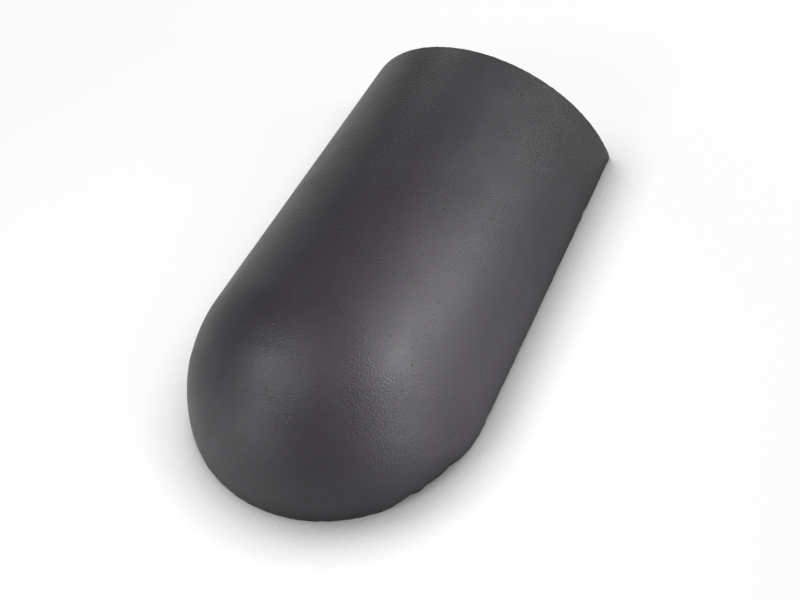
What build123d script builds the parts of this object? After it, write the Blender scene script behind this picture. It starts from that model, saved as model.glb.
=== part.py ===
# Half-round ridge tile with a closed, domed end, moulded in one piece of coated concrete.
# Millimetres. X runs across the tile, +Y from the dome to the open mouth, +Z from the bed up.
# The origin is on the bed plane, in the middle of the length and the width.
import os
from math import asin, cos, degrees, hypot, sin, tan

from build123d import *

# Driving dimensions
tile_length = 410.0  # dome tip to mouth
dome_width = 250.0  # across the bed edges at the dome, where the tile is widest
dome_rise = 118.0  # bed to crown over the middle of the dome
mouth_width = 230.0  # across the bed edges at the mouth, which the next tile laps over
mouth_rise = 97.0  # bed to crown at the mouth
wall = 14.0  # thickness of the shell, the same all over
edge_round = 2.0  # rounding of the outer edges at the bed and the mouth


def arch_radius(width, rise):
    # Radius of the circular arch that stands on a chord of this width and has this rise
    return ((width / 2) ** 2 + rise**2) / (2 * rise)


# The shell follows a ball that rolls from the dome to the mouth and shrinks on the way.
# So the dome is part of a sphere, and the barrel is a round cone that leaves it tangentially.
dome_radius = arch_radius(dome_width, dome_rise)
mouth_radius = arch_radius(mouth_width, mouth_rise)
dome_y = dome_width / 2 - tile_length / 2
mouth_y = tile_length / 2
dome_z = dome_rise - dome_radius
mouth_z = mouth_rise - mouth_radius

# The line through the two ball centres dips towards the mouth.
axis_run = mouth_y - dome_y
axis_fall = mouth_z - dome_z
axis_length = hypot(axis_run, axis_fall)
taper = asin((dome_radius - mouth_radius) / axis_length)
dome_centre = Vector(0, dome_y, dome_z)
axis_direction = Vector(0, axis_run, axis_fall)
tile_axis = Axis(dome_centre, axis_direction)

# Profiles are drawn below the axis, so the seam of the turned shape is cut off with the bed.
profile_plane = Plane(origin=dome_centre, x_dir=axis_direction, z_dir=(-1, 0, 0))
mouth_plane = Plane(origin=(0, mouth_y, 0), z_dir=(0, 1, 0))
past_mouth = axis_length + mouth_radius


def turned_profile(depth):
    # Half-section at this depth under the outer skin: a round nose and a straight taper
    nose_radius = dome_radius - depth
    barrel_run = past_mouth - nose_radius * sin(taper)
    far_radius = nose_radius * cos(taper) - barrel_run * tan(taper)
    with BuildSketch(profile_plane) as profile:
        with BuildLine():
            nose = CenterArc((0, 0), nose_radius, 180, -90 - degrees(taper))
            Polyline(nose @ 1, (past_mouth, far_radius), (past_mouth, 0), nose @ 0)
        make_face()
    return profile.sketch


with BuildPart() as ridge_tile:
    # Outer form, cut flat at the bed and square at the mouth
    revolve(turned_profile(0), axis=tile_axis)
    split(bisect_by=Plane.XY, keep=Keep.TOP)
    split(bisect_by=mouth_plane, keep=Keep.BOTTOM)
    bed = ridge_tile.faces().sort_by(Axis.Z)[0]
    mouth = ridge_tile.faces().sort_by(Axis.Y)[-1]
    fillet(bed.edges() + mouth.edges(), radius=edge_round)

    # Hollow, one wall inside the outer form and open at the bed and the mouth
    revolve(turned_profile(wall), axis=tile_axis, mode=Mode.SUBTRACT)

ridge_tile.part.label = "ridge_tile"

os.makedirs("parts", exist_ok=True)
export_step(ridge_tile.part, "parts/ridge_tile.step")
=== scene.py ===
import math

import bpy
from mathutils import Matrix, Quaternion, Vector


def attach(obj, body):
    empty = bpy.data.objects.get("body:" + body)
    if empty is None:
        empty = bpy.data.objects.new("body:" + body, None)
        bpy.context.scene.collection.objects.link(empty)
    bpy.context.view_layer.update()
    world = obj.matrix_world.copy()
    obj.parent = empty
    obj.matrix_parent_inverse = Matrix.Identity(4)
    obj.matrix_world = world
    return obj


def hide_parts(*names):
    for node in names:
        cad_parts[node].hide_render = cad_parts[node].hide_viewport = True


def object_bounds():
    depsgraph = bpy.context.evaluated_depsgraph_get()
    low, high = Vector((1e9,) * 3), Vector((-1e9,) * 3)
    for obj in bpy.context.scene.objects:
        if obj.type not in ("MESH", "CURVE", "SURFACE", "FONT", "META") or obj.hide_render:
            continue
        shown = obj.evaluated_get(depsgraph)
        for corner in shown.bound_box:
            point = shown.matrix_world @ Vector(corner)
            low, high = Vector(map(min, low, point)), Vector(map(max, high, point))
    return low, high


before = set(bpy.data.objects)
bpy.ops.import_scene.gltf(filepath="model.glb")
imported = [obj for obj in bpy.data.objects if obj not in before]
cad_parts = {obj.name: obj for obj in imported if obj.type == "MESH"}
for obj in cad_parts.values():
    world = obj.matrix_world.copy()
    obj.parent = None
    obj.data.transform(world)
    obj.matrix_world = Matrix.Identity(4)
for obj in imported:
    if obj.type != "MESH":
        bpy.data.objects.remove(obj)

cadLow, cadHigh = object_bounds()
print("frame loaded, CAD box", [round(x, 4) for x in (cadHigh - cadLow)])


def deselectAll():
    bpy.ops.object.select_all(action='DESELECT')


def clearSelection(mesh):
    for part in (mesh.polygons, mesh.edges, mesh.vertices):
        part.foreach_set("select", [False] * len(part))


def editVerts(piece, test):
    # opens the piece in edit mode with just the vertices that pass the test selected
    bpy.ops.object.mode_set(mode='OBJECT')
    clearSelection(piece.data)
    piece.data.vertices.foreach_set("select", [test(v.co) for v in piece.data.vertices])
    bpy.ops.object.mode_set(mode='EDIT')
    bpy.ops.mesh.select_mode(type='VERT')


def editParts(piece, selectMode, kind, test):
    # the same for edges or faces
    bpy.ops.object.mode_set(mode='OBJECT')
    clearSelection(piece.data)
    picked = [test(part) for part in getattr(piece.data, kind)]
    bpy.ops.object.mode_set(mode='EDIT')
    bpy.ops.mesh.select_mode(type=selectMode)
    bpy.ops.object.mode_set(mode='OBJECT')
    getattr(piece.data, kind).foreach_set("select", picked)
    bpy.ops.object.mode_set(mode='EDIT')


def editEdges(piece, test):
    # edges, by their two ends
    editParts(piece, 'EDGE', "edges", lambda edge: test(*(piece.data.vertices[i].co for i in edge.vertices)))


def editFaces(piece, test):
    # faces, by their middles
    editParts(piece, 'FACE', "polygons", lambda face: test(face.center))


def applyModifier(piece, name, kind, **values):
    bpy.ops.object.mode_set(mode='OBJECT')
    mod = piece.modifiers.new(name, kind)
    for key, value in values.items():
        setattr(mod, key, value)
    bpy.ops.object.modifier_apply(modifier=mod.name)


def paintGroup(piece, name, weightAt, faintest=0.002):
    # vertex group whose weights follow a rule on the vertices' places
    bpy.ops.object.mode_set(mode='OBJECT')
    group = piece.vertex_groups.new(name=name)
    for v in piece.data.vertices:
        weight = weightAt(v.co)
        if weight > faintest:
            group.add([v.index], min(weight, 1.0), 'REPLACE')


def countTriangles(piece):
    return sum(len(p.vertices) - 2 for p in piece.data.polygons)


def fade(value, full, none):
    # 1 at full, 0 at none, eased between them
    t = min(max((value - none) / (full - none), 0.0), 1.0)
    return t * t * (3 - 2 * t)


# ridge tile, metres
tileSizes = {
    "domeWidth": 0.250,
    "domeRise": 0.118,
    "mouthWidth": 0.230,
    "mouthRise": 0.097,
    "wall": 0.014,
    "edgeRound": 0.002,
    "edgeSegments": 3,
    "sharpAngle": 50,      # degrees; edges that turn by more are rounded
    "domeCuts": 20,        # cuts across the cube that becomes the dome
    "barrelCuts": 32,
    "overrun": 1.06,       # the barrel is drawn out to this many lengths, then trimmed at the mouth
    "smoothLevels": 2,
}
hair = 1e-4                # what lies this close counts as touching
rimSlack = 0.002           # the inner rim lies this close to the mouth before it is made flush


def archRadius(width, rise):
    return ((width / 2) ** 2 + rise ** 2) / (2 * rise)


domeRadius = archRadius(tileSizes["domeWidth"], tileSizes["domeRise"])
mouthRadius = archRadius(tileSizes["mouthWidth"], tileSizes["mouthRise"])
mouthY = cadHigh.y
domeCentre = Vector((0, cadLow.y + tileSizes["domeWidth"] / 2, tileSizes["domeRise"] - domeRadius))
mouthCentre = Vector((0, mouthY, tileSizes["mouthRise"] - mouthRadius))
tileAxis = mouthCentre - domeCentre
axisDirection = tileAxis.normalized()


def skinDepth(co):
    # depth under the outer skin, which is a ball at the dome and a cone behind it
    run = (co - domeCentre).dot(axisDirection)
    if run < 0:
        return domeRadius - (co - domeCentre).length
    radius = domeRadius + (mouthRadius - domeRadius) * run / tileAxis.length
    return radius - (co - domeCentre - axisDirection * run).length


def makeTile():
    deselectAll()
    tilt = math.atan2(tileAxis.z, tileAxis.y)
    bpy.ops.mesh.primitive_cube_add(size=2 * domeRadius, location=domeCentre, rotation=(tilt, 0, 0))
    tile = bpy.context.active_object
    tile.name = "ridgeTile"
    bpy.ops.object.mode_set(mode='EDIT')
    bpy.ops.mesh.select_all(action='SELECT')
    bpy.ops.mesh.subdivide(number_cuts=tileSizes["domeCuts"])
    applyModifier(tile, "ball", 'CAST', cast_type='SPHERE', factor=1.0, size=domeRadius,
                  use_radius_as_size=False)
    bpy.ops.object.transform_apply(location=True, rotation=True, scale=True)

    # keep the front half of the ball and draw its rim out into the tapered barrel
    bpy.ops.object.mode_set(mode='EDIT')
    bpy.ops.mesh.select_all(action='SELECT')
    bpy.ops.mesh.bisect(plane_co=domeCentre, plane_no=axisDirection, clear_outer=True)
    editVerts(tile, lambda co: abs((co - domeCentre).dot(axisDirection)) < hair)
    overrun = tileSizes["overrun"]
    endRadius = domeRadius + (mouthRadius - domeRadius) * overrun
    bpy.ops.mesh.extrude_region_move(TRANSFORM_OT_translate={"value": tileAxis * overrun})
    endScale = endRadius / domeRadius
    bpy.ops.transform.resize(value=(endScale,) * 3, center_override=domeCentre + tileAxis * overrun)
    longEdge = tileAxis.length * 0.9        # only the barrel's edges are longer
    editEdges(tile, lambda a, b: (a - b).length > longEdge)
    bpy.ops.mesh.subdivide(number_cuts=tileSizes["barrelCuts"])

    # trim at the bed and the mouth
    bpy.ops.mesh.select_all(action='SELECT')
    bpy.ops.mesh.bisect(plane_co=(0, 0, 0), plane_no=(0, 0, 1), clear_inner=True)
    bpy.ops.mesh.select_all(action='SELECT')
    bpy.ops.mesh.bisect(plane_co=(0, mouthY, 0), plane_no=(0, 1, 0), clear_outer=True)
    bpy.ops.mesh.select_all(action='SELECT')
    bpy.ops.mesh.remove_doubles(threshold=1e-5)
    bpy.ops.mesh.normals_make_consistent(inside=False)

    # wall thickness, then the inner rims are brought flush with the bed and the mouth
    applyModifier(tile, "wall", 'SOLIDIFY', thickness=tileSizes["wall"], offset=-1, use_even_offset=True)
    editVerts(tile, lambda co: co.z < hair)
    bpy.ops.transform.resize(value=(1, 1, 0), center_override=(0, 0, 0))
    editVerts(tile, lambda co: co.y > mouthY - rimSlack)
    bpy.ops.transform.resize(value=(1, 0, 1), center_override=(0, mouthY, 0))
    applyModifier(tile, "edges", 'BEVEL', width=tileSizes["edgeRound"], segments=tileSizes["edgeSegments"],
                  limit_method='ANGLE', angle_limit=math.radians(tileSizes["sharpAngle"]))
    applyModifier(tile, "smooth", 'SUBSURF', levels=tileSizes["smoothLevels"],
                  render_levels=tileSizes["smoothLevels"])
    bpy.ops.object.shade_smooth()
    print("tile modelled,", countTriangles(tile), "triangles")
    return tile


tile = makeTile()

# relief of the cast surface, metres
castRelief = {
    "skinSlack": 0.001,    # what lies this close to the skin or an edge still counts as on it
    "skinReach": 0.005,    # depth at which the relief of the skin has died away
    "wave": 0.00025,       # long unevenness of the skin, from hollow to hump
    "waveSpan": 0.06,
    "waveOffRim": (0.008, 0.002),           # distances from the rims at which it is whole and gone
    "seamStep": 0.0004,    # how far the dome and the foot of the wall stand proud at the mould seam
    "seamWidth": 0.009,
    "seamRows": (-0.5, -0.17, 0.17, 0.5),   # rows of edges across the step, in its widths
    "seamMargin": 0.006,   # faces this near to a row are cut
    "seamFade": 0.045,     # the step dies away over this much of the dome
    "seamSide": (-0.03, 0.06),              # x at which the dome's step is whole and gone
    "seamOffBed": (0.003, 0.0005),          # heights at which the step is whole and gone
    "seamY": -0.1125,      # where the seam round the dome comes down to the bed
    "seamLean": -0.10,     # and how far it leans towards the dome for each metre up
    "skirtEnd": 0.087,     # where the seam along the foot of the wall comes down to the bed
    "skirtRise": 0.122,    # and how far it climbs for each metre towards the dome
    "skirtShare": 0.6,     # its step, as a share of the dome's
    "rimReach": 0.005,     # rims are cut finer this far in
    "rimEdge": 0.0013,     # where edges are longer than this
    "rimSlope": 0.3,       # and run along the rim, with no more slope than this
    "edgeDepth": 0.009,    # how far in from the edge chips are felt
    "chipRise": 0.005,     # how far up
    "chipLift": 0.12,      # upward push of a chip, as a share of its push inwards
    "chipDepth": 0.0017,
    "chipSpan": 0.011,
    "chipLevels": (0.3, 0.9),               # levels of the pattern at which a chip is gone and whole
    "chippedCorner": (0.108, -0.14, 0),     # chips are deepest about here
    "chippedReach": 0.06,
    "chippedCore": 0.4,    # share of that reach where they are at their deepest
    "chipLeast": 0.2,      # share of that depth that they have elsewhere
    "largeRise": 0.03,     # how far up the larger chips are felt
    "largeCore": 0.25,     # share of their reach at full depth
    "crumble": 0.0004,
    "crumbleSpan": 0.0035,
    "crumbleLevels": (0.3, 0.7),
}

# larger chips of the bed edge: place, reach and depth
bedChips = [
    ((0.112, -0.133, 0), 0.036, 0.0027),
    ((0.102, -0.152, 0), 0.026, 0.0022),
    ((0.125, -0.069, 0), 0.006, 0.0007),
    ((0.1175, 0.142, 0), 0.005, 0.0009),
    ((-0.1225, 0.021, 0), 0.006, 0.0007),
]


def pastSeam(co):
    # distance past the dome seam towards the tip
    return castRelief["seamY"] + castRelief["seamLean"] * co.z - co.y


def underSeam(co):
    # distance under the seam along the foot of the wall
    return castRelief["skirtRise"] * (castRelief["skirtEnd"] - co.y) - co.z


def seamWeight(co):
    half = castRelief["seamWidth"] / 2
    onDome = fade(pastSeam(co), half, -half) * fade(co.x, *castRelief["seamSide"])
    onSkirt = fade(underSeam(co), half, -half) * castRelief["skirtShare"]
    return max(onDome, onSkirt) * fade(pastSeam(co), 0, castRelief["seamFade"])


def reliefTexture(name, kind, span, low=0.0, high=1.0):
    # what lies under low becomes 0 and what lies over high becomes 1
    tex = bpy.data.textures.new(name, kind)
    tex.noise_scale = span
    tex.use_color_ramp = True
    tex.color_ramp.elements[0].position = low
    tex.color_ramp.elements[0].color = (0, 0, 0, 1)
    tex.color_ramp.elements[1].position = high
    tex.color_ramp.elements[1].color = (1, 1, 1, 1)
    return tex


def onSkin(co):
    return fade(skinDepth(co), castRelief["skinSlack"], castRelief["skinReach"])


def pressEdge(name, axis, push, weightAt, texture=None):
    # pushes the outer edge along one axis; a texture breaks the push up
    def nearEdge(co):
        return fade(skinDepth(co), castRelief["skinSlack"], castRelief["edgeDepth"]) * weightAt(co)

    paintGroup(tile, name, nearEdge)
    values = dict(direction=axis, strength=push, mid_level=0.0, vertex_group=name, texture_coords='LOCAL')
    if texture:
        values["texture"] = texture
    applyModifier(tile, name, 'DISPLACE', **values)


def outward(co):
    # level direction from the middle of the tile to its outside
    side = co - domeCentre
    side.z = 0
    side.y = min(side.y, 0)
    return side.normalized()


def pressBed(name, depth, rise, weightAt, texture=None):
    # pushes the foot of the wall in towards the middle, up to this height, and a little up
    def atBed(co):
        return fade(co.z, castRelief["skinSlack"], rise) * weightAt(co)

    pressEdge(name + "Right", 'X', -depth, lambda co: atBed(co) * max(outward(co).x, 0), texture)
    pressEdge(name + "Left", 'X', depth, lambda co: atBed(co) * max(-outward(co).x, 0), texture)
    pressEdge(name + "Front", 'Y', depth, lambda co: atBed(co) * max(-outward(co).y, 0), texture)
    pressEdge(name + "Up", 'Z', castRelief["chipLift"] * depth, atBed, texture)


def refineRims():
    # halves the cells along the outer bed and mouth edges, to leave room for chips
    reach = castRelief["rimReach"]

    def isLevel(drop, length):
        return abs(drop) < castRelief["rimSlope"] * length

    def onRim(a, b):
        length = (a - b).length
        if length < castRelief["rimEdge"] or max(skinDepth(a), skinDepth(b)) > reach:
            return False
        alongBed = max(a.z, b.z) < reach and isLevel(a.z - b.z, length)
        alongMouth = min(a.y, b.y) > mouthY - reach and isLevel(a.y - b.y, length)
        return alongBed or alongMouth

    editEdges(tile, onRim)
    bpy.ops.mesh.subdivide(number_cuts=1)


def cutSeams():
    # rows of edges along the two mould seams, so that the step follows them evenly
    seamPlanes = [
        (Vector((0, castRelief["seamY"], 0)), Vector((0, 1, -castRelief["seamLean"])).normalized()),
        (Vector((0, castRelief["skirtEnd"], 0)), Vector((0, castRelief["skirtRise"], 1)).normalized()),
    ]
    margin = castRelief["seamMargin"]
    for place, normal in seamPlanes:
        for row in castRelief["seamRows"]:
            at = place + normal * row * castRelief["seamWidth"]

            def nearRow(co):
                if abs((co - at).dot(normal)) > margin or skinDepth(co) > castRelief["skinSlack"]:
                    return False
                return pastSeam(co) < margin and underSeam(co) < margin

            editFaces(tile, nearRow)
            bpy.ops.mesh.bisect(plane_co=at, plane_no=normal)


def castSurface():
    r = castRelief
    refineRims()
    cutSeams()

    def offRims(co):
        return onSkin(co) * fade(co.z, *r["waveOffRim"]) * fade(mouthY - co.y, *r["waveOffRim"])

    paintGroup(tile, "skin", offRims)
    applyModifier(tile, "wave", 'DISPLACE', strength=r["wave"], mid_level=0.5, vertex_group="skin",
                  texture=reliefTexture("wave", 'CLOUDS', r["waveSpan"]), texture_coords='LOCAL')
    print("skin made uneven")

    paintGroup(tile, "seam", lambda co: onSkin(co) * seamWeight(co) * fade(co.z, *r["seamOffBed"]))
    applyModifier(tile, "seam", 'DISPLACE', strength=r["seamStep"], mid_level=0.0, vertex_group="seam")
    print("mould seams raised")

    # edges: shallow chips along the bed, a few larger ones, and a fine crumble all along
    deepest = max(depth for place, reach, depth in bedChips)

    def largeChips(co):
        shares = (fade((co - Vector(place)).length, r["largeCore"] * reach, reach) * depth / deepest
                  for place, reach, depth in bedChips)
        return max(shares)

    def chipWeight(co):
        away = (co - Vector(r["chippedCorner"])).length
        nearCorner = fade(away, r["chippedCore"] * r["chippedReach"], r["chippedReach"])
        return r["chipLeast"] + (1 - r["chipLeast"]) * nearCorner

    def mouthEdge(co):
        return fade(mouthY - co.y, r["skinSlack"], r["chipRise"])

    scallops = reliefTexture("chips", 'VORONOI', r["chipSpan"], *r["chipLevels"])
    pressBed("chips", r["chipDepth"], r["chipRise"], chipWeight, scallops)
    pressBed("largeChips", deepest, r["largeRise"], largeChips)
    crumbs = reliefTexture("crumble", 'CLOUDS', r["crumbleSpan"], *r["crumbleLevels"])
    pressBed("crumble", r["crumble"], r["chipRise"], lambda co: 1.0, crumbs)
    pressEdge("mouthCrumble", 'Y', -r["crumble"], mouthEdge, crumbs)
    print("edges chipped,", countTriangles(tile), "triangles")

    # depth under the outer skin, 0 outside and 1 inside, for the coat's material
    hollow = tile.data.attributes.new("hollow", 'FLOAT', 'POINT')
    hollow.data.foreach_set("value", [skinDepth(v.co) / tileSizes["wall"] for v in tile.data.vertices])


castSurface()

# colour coat of the outside and bare concrete of the underside; scales are per metre, sizes in metres
coatLook = {
    "colour": (0.0262, 0.0233, 0.0275),
    "paleColour": (0.0350, 0.0312, 0.0368),   # paler clouds and grains in the coat
    "cloudScale": 26.0,
    "cloudLevels": (0.3, 0.72),
    "paleGrainScale": 760.0,
    "grainShare": 0.45,    # of the colour's change, the share that is grain and not cloud
    # painted shade: pits and bug holes get this darker colour, standing in for the shade inside them
    "pitShadeColour": (0.018, 0.0175, 0.018),
    "speckColour": (0.11, 0.108, 0.11),
    "gloss": 0.425,        # specular level, for a refractive index of about 1.45
    "roughness": (0.41, 0.46),
    "roughnessScale": 38.0,
    "domeDull": 0.05,      # how much rougher the dome is
    "dullEnd": (-0.11, -0.05),      # y over which that dies away
    "peelScale": 620.0,    # orange peel
    "peelDepth": 0.00068,
    "crownPeel": 0.5,      # its share over the crown of the barrel
    "crownEnd": (0.02, 0.065),      # distance from the ridge line over which it becomes whole
    "domePeel": 0.8,       # its share on the dome
    "domeEnd": (-0.11, -0.07),      # y over which the dome's peel becomes the barrel's
    "patchScale": 17.0,    # patches of weaker and stronger peel
    "patchPeel": (0.8, 1.2),
    "grainScale": 1500.0,
    "grainDepth": 0.00003,
    "pitScale": 200.0,
    "pitSize": 0.0011,
    "pitShare": 0.1,
    "pitDepth": 0.0004,
    "speckScale": 220.0,
    "speckSize": 0.0004,
    "speckShare": 0.05,
    "coatEnd": (0.32, 0.6),         # share of the wall over which the coat thins out on the rim
    "raggedScale": 130.0,
    "ragged": (-0.14, 0.14),        # how far that line wanders
    "bareColour": (0.078, 0.076, 0.074),
    "barePale": (0.115, 0.112, 0.108),
    "bareScale": 60.0,
    "bareLevels": (0.35, 0.7),
    "bareRoughness": 0.88,
    "sandScale": 520.0,
    "sandDepth": 0.00028,
    "bugHoleScale": 42.0,
    "bugHoleSize": 0.0016,
    "bugHoleShare": 0.35,
    "bugHoleDepth": 0.0009,
}
noiseLevels = (0.3, 0.7)   # a noise texture seldom leaves these
spotCore = 0.45            # share of a spot's radius that is at full strength


def addNode(tree, kind, inputs=None, **settings):
    node = tree.nodes.new(kind)
    for key, value in settings.items():
        setattr(node, key, value)
    for key, value in (inputs or {}).items():
        if isinstance(value, bpy.types.NodeSocket):
            tree.links.new(value, node.inputs[key])
        else:
            node.inputs[key].default_value = value
    return node


def maths(tree, operation, *values):
    return addNode(tree, 'ShaderNodeMath', dict(enumerate(values)), operation=operation).outputs[0]


def ramp(tree, value, low, high, toLow=0.0, toHigh=1.0):
    inputs = {"Value": value, "From Min": low, "From Max": high, "To Min": toLow, "To Max": toHigh}
    return addNode(tree, 'ShaderNodeMapRange', inputs, interpolation_type='SMOOTHSTEP').outputs["Result"]


def mixValue(tree, share, first, second):
    return addNode(tree, 'ShaderNodeMix', {0: share, 2: first, 3: second}).outputs[0]


def mixColour(tree, share, first, second):
    node = addNode(tree, 'ShaderNodeMix', data_type='RGBA')
    for key, value in (("Factor_Float", share), ("A_Color", first), ("B_Color", second)):
        socket = next(s for s in node.inputs if s.identifier == key)
        if isinstance(value, bpy.types.NodeSocket):
            tree.links.new(value, socket)
        else:
            socket.default_value = (*value, 1)
    return next(s for s in node.outputs if s.identifier == "Result_Color")


def noise(tree, coords, scale, detail=1.0, rough=0.5):
    return addNode(tree, 'ShaderNodeTexNoise', {"Vector": coords, "Scale": scale, "Detail": detail,
                                                "Roughness": rough}).outputs["Fac"]


def spots(tree, coords, scale, size, share):
    # round spots of about this radius, in a share of the cells; 1 in a spot's middle
    cells = addNode(tree, 'ShaderNodeTexVoronoi', {"Vector": coords, "Scale": scale})
    reach = size * scale
    inside = ramp(tree, cells.outputs["Distance"], reach, spotCore * reach)
    lucky = addNode(tree, 'ShaderNodeSeparateColor', {"Color": cells.outputs["Color"]}).outputs[0]
    chosen = maths(tree, 'LESS_THAN', lucky, share)
    return maths(tree, 'MULTIPLY', inside, chosen)


def coatMaterial():
    look = coatLook
    mat = bpy.data.materials.new("anthraciteCoat")
    mat.use_nodes = True
    tree = mat.node_tree
    shader = tree.nodes["Principled BSDF"]
    coords = addNode(tree, 'ShaderNodeTexCoord').outputs["Object"]
    place = addNode(tree, 'ShaderNodeSeparateXYZ', {"Vector": coords}).outputs
    hollow = addNode(tree, 'ShaderNodeAttribute', attribute_name="hollow").outputs["Fac"]

    # the coat runs round the edge and thins out in a ragged line on the rim
    ragged = ramp(tree, noise(tree, coords, look["raggedScale"], detail=3.0), *noiseLevels, *look["ragged"])
    bare = ramp(tree, maths(tree, 'ADD', hollow, ragged), *look["coatEnd"])

    # orange peel, deepest on the flanks of the barrel, with a finer grain on it, pits and specks
    peel = noise(tree, coords, look["peelScale"], detail=1.6)
    fromRidge = maths(tree, 'ABSOLUTE', place["X"])
    flank = ramp(tree, fromRidge, *look["crownEnd"], look["crownPeel"], 1.0)
    onBarrel = ramp(tree, place["Y"], *look["domeEnd"])
    patch = mixValue(tree, onBarrel, look["domePeel"], flank)
    uneven = ramp(tree, noise(tree, coords, look["patchScale"]), *noiseLevels, *look["patchPeel"])
    patch = maths(tree, 'MULTIPLY', patch, uneven)
    peelHeight = maths(tree, 'MULTIPLY', maths(tree, 'MULTIPLY', peel, patch), look["peelDepth"])
    grain = noise(tree, coords, look["grainScale"], detail=2.0)
    grainHeight = maths(tree, 'MULTIPLY', grain, look["grainDepth"])
    pits = spots(tree, coords, look["pitScale"], look["pitSize"], look["pitShare"])
    pitHeight = maths(tree, 'MULTIPLY', pits, -look["pitDepth"])
    specks = spots(tree, coords, look["speckScale"], look["speckSize"], look["speckShare"])
    coatHeight = maths(tree, 'ADD', maths(tree, 'ADD', peelHeight, grainHeight), pitHeight)

    # bare concrete: sand grain and bug holes
    sand = noise(tree, coords, look["sandScale"], detail=3.0, rough=0.6)
    bugHoles = spots(tree, coords, look["bugHoleScale"], look["bugHoleSize"], look["bugHoleShare"])
    bareHeight = maths(tree, 'ADD', maths(tree, 'MULTIPLY', sand, look["sandDepth"]),
                       maths(tree, 'MULTIPLY', bugHoles, -look["bugHoleDepth"]))
    height = mixValue(tree, bare, coatHeight, bareHeight)
    bump = addNode(tree, 'ShaderNodeBump', {"Height": height, "Distance": 1.0, "Strength": 1.0})
    tree.links.new(bump.outputs["Normal"], shader.inputs["Normal"])

    # colours
    clouds = ramp(tree, noise(tree, coords, look["cloudScale"], detail=3.0, rough=0.6), *look["cloudLevels"])
    paleGrains = ramp(tree, noise(tree, coords, look["paleGrainScale"], detail=2.0, rough=0.6), *noiseLevels)
    paleness = mixValue(tree, look["grainShare"], clouds, paleGrains)
    coat = mixColour(tree, paleness, look["colour"], look["paleColour"])
    coat = mixColour(tree, specks, coat, look["speckColour"])
    # painted shade: the pits are darkened in colour as well as sunk
    coat = mixColour(tree, pits, coat, look["pitShadeColour"])
    blotches = noise(tree, coords, look["bareScale"], detail=4.0, rough=0.65)
    bareClouds = ramp(tree, blotches, *look["bareLevels"])
    concrete = mixColour(tree, bareClouds, look["bareColour"], look["barePale"])
    # painted shade: the bug holes are darkened in colour as well as sunk
    concrete = mixColour(tree, bugHoles, concrete, look["pitShadeColour"])
    tree.links.new(mixColour(tree, bare, coat, concrete), shader.inputs["Base Color"])

    # the coat is satin, a little duller in places; bare concrete is matt
    worn = noise(tree, coords, look["roughnessScale"], detail=2.0)
    dull = ramp(tree, worn, *noiseLevels, *look["roughness"])
    dull = maths(tree, 'ADD', dull, ramp(tree, place["Y"], *look["dullEnd"], look["domeDull"], 0.0))
    matt = mixValue(tree, bare, dull, look["bareRoughness"])
    tree.links.new(matt, shader.inputs["Roughness"])
    shader.inputs["Specular IOR Level"].default_value = look["gloss"]
    return mat


tile.data.materials.append(coatMaterial())
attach(tile, "root")
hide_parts("ridge_tile")
print("coat laid on")


# floor and backdrop: a lift, seen and mirrored but not cast as light, makes most of its white, and near the
# tile it is darkened into a painted contact shadow
floorLook = {
    "size": 30.0,
    "colour": (0.12, 0.12, 0.12, 1),
    "roughness": 0.9,
    "lift": 0.88,
    "farLift": 0.94,       # lift further off, where the lamps don't reach
    "farEnd": (0.4, 1.6),  # distances from the tile over which it gets there
    # the halo is a painted shadow: the floor's lift is darkened where the tile hides the sky, not shaded by
    # the lamps
    "haloReach": 0.046,    # how far the dark contact shadow reaches from the tile's foot
    "haloOpen": (0.36, 0.97),           # share of open sky at which the lift is gone and whole
    "haloLean": (-0.29, 0.25, 0.92),    # brightest part of the sky, so the halo lies to the front and right
    "roofReach": 0.4,      # the same under the arch, which shades the floor from further off
    "roofOpen": (0.0, 0.4),
    "skySamples": 4,
}


def openSky(tree, reach, limits, inputs=None):
    # 0 where the tile hides the sky from the floor and 1 where it is open
    sky = addNode(tree, 'ShaderNodeAmbientOcclusion', inputs, samples=floorLook["skySamples"])
    sky.inputs["Distance"].default_value = reach
    return ramp(tree, sky.outputs["AO"], *limits)


def makeFloor():
    look = floorLook
    deselectAll()
    bpy.ops.mesh.primitive_plane_add(size=look["size"], location=(0, 0, 0))
    floor = bpy.context.active_object
    floor.name = "floor"
    mat = bpy.data.materials.new("paleFloor")
    mat.use_nodes = True
    tree = mat.node_tree
    shader = tree.nodes["Principled BSDF"]
    shader.inputs["Base Color"].default_value = look["colour"]
    shader.inputs["Roughness"].default_value = look["roughness"]
    shader.inputs["Specular IOR Level"].default_value = 0.0
    path = addNode(tree, 'ShaderNodeLightPath').outputs
    seen = maths(tree, 'MAXIMUM', path["Is Camera Ray"], path["Is Glossy Ray"])
    seen = maths(tree, 'MAXIMUM', seen, path["Is Transmission Ray"])
    lean = addNode(tree, 'ShaderNodeCombineXYZ', dict(enumerate(look["haloLean"]))).outputs[0]
    # painted shadow: the lift fades beside the tile's foot, leaning to the front and right, and under its
    # arch
    paintedShadow = maths(tree, 'MULTIPLY', openSky(tree, look["haloReach"], look["haloOpen"], {"Normal": lean}),
                 openSky(tree, look["roofReach"], look["roofOpen"]))
    coords = addNode(tree, 'ShaderNodeTexCoord').outputs["Object"]
    away = addNode(tree, 'ShaderNodeVectorMath', {0: coords}, operation='LENGTH').outputs["Value"]
    lift = ramp(tree, away, *look["farEnd"], look["lift"], look["farLift"])
    shown = maths(tree, 'MULTIPLY', maths(tree, 'MULTIPLY', lift, paintedShadow), seen)
    shader.inputs["Emission Color"].default_value = (1, 1, 1, 1)
    tree.links.new(shown, shader.inputs["Emission Strength"])
    floor.data.materials.append(mat)


makeFloor()
print("floor laid")


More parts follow.
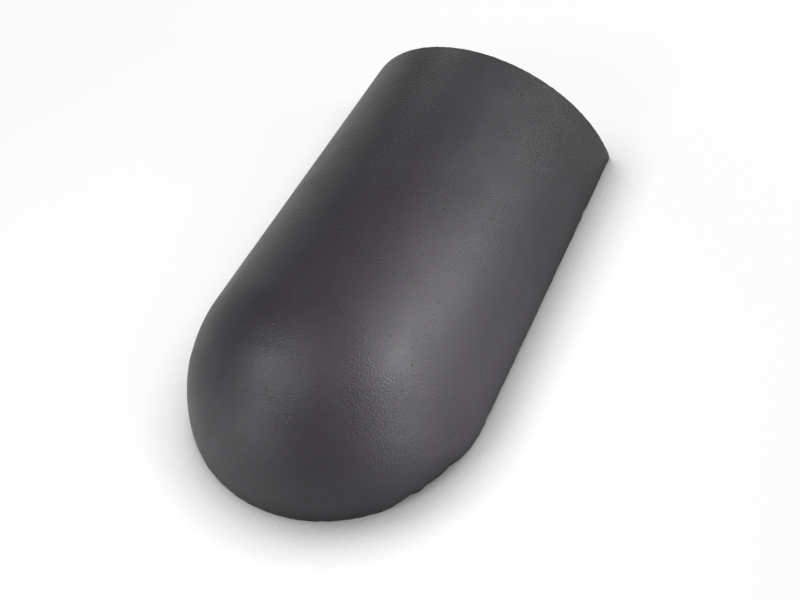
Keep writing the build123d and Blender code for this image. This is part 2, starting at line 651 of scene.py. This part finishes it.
def placeFacing(name, data, aim, view, roll=0.0):
    # puts a lamp or the camera at its azimuth, elevation and distance from the aim, and turns it there
    az, el = math.radians(view["azimuth"]), math.radians(view["elevation"])
    back = Vector((math.sin(az) * math.cos(el), -math.cos(az) * math.cos(el), math.sin(el)))
    item = bpy.data.objects.new(name, data)
    item.location = Vector(aim) + back * view["distance"]
    item.rotation_mode = 'QUATERNION'
    item.rotation_quaternion = (-back).to_track_quat('-Z', 'Y') @ Quaternion((0, 0, 1), math.radians(roll))
    bpy.context.scene.collection.objects.link(item)
    return item


# studio lamps: azimuth from the dome's end and elevation in degrees, distance and size in metres
# those with a spread, in degrees, have a grid in front and light the dome alone
studioLamps = {
    "barrelBox": dict(azimuth=120, elevation=25, distance=1.5, size=0.35, watts=9.5),
    "backBox": dict(azimuth=150, elevation=40, distance=1.5, size=0.35, watts=4.9),
    "leftBox": dict(azimuth=322, elevation=48, distance=0.75, size=0.2, watts=3.1),
    "crownBox": dict(azimuth=180, elevation=35, distance=0.75, size=0.2, watts=0.35),
    "rimBox": dict(azimuth=205, elevation=20, distance=0.75, size=0.2, watts=0.44),
    "lowRimBox": dict(azimuth=232, elevation=10, distance=0.75, size=0.2, watts=0.1),
    "domeSpot": dict(azimuth=105, elevation=40, distance=0.75, size=0.2, watts=0.28, spread=45),
    "wallSpot": dict(azimuth=75, elevation=10, distance=0.75, size=0.2, watts=0.17, spread=45),
    "frontSpot": dict(azimuth=325, elevation=12, distance=0.75, size=0.2, watts=0.1, spread=45),
}
tileAim = (0, -0.03, 0.05)
domeAim = (0, -0.11, 0.05)      # for lamps with a narrow spread
roomLight = 0.03


def makeLamps():
    for name, lamp in studioLamps.items():
        data = bpy.data.lights.new(name, 'AREA')
        data.shape = 'SQUARE'
        data.size = lamp["size"]
        data.energy = lamp["watts"]
        data.spread = math.radians(lamp.get("spread", 180))
        placeFacing(name, data, domeAim if "spread" in lamp else tileAim, lamp)
    world = bpy.data.worlds.new("room")
    bpy.context.scene.world = world
    world.use_nodes = True
    background = world.node_tree.nodes["Background"]
    background.inputs["Color"].default_value = (1, 1, 1, 1)
    background.inputs["Strength"].default_value = roomLight


makeLamps()
print("lamps placed")

# camera: angles in degrees, distance in metres, lens and sensor in millimetres
cameraView = {
    "azimuth": 39.7,
    "elevation": 51.94,
    "roll": -16.98,
    "distance": 1.4,
    "aim": (0.0279, -0.0131, 0.04),
    "lens": 79.42,
    "sensor": 36.0,
}


def makeCamera():
    data = bpy.data.cameras.new("camera")
    data.lens = cameraView["lens"]
    data.sensor_width = cameraView["sensor"]
    bpy.context.scene.camera = placeFacing("camera", data, cameraView["aim"], cameraView, cameraView["roll"])


makeCamera()
bpy.context.scene.view_settings.view_transform = 'Standard'
print("camera set")
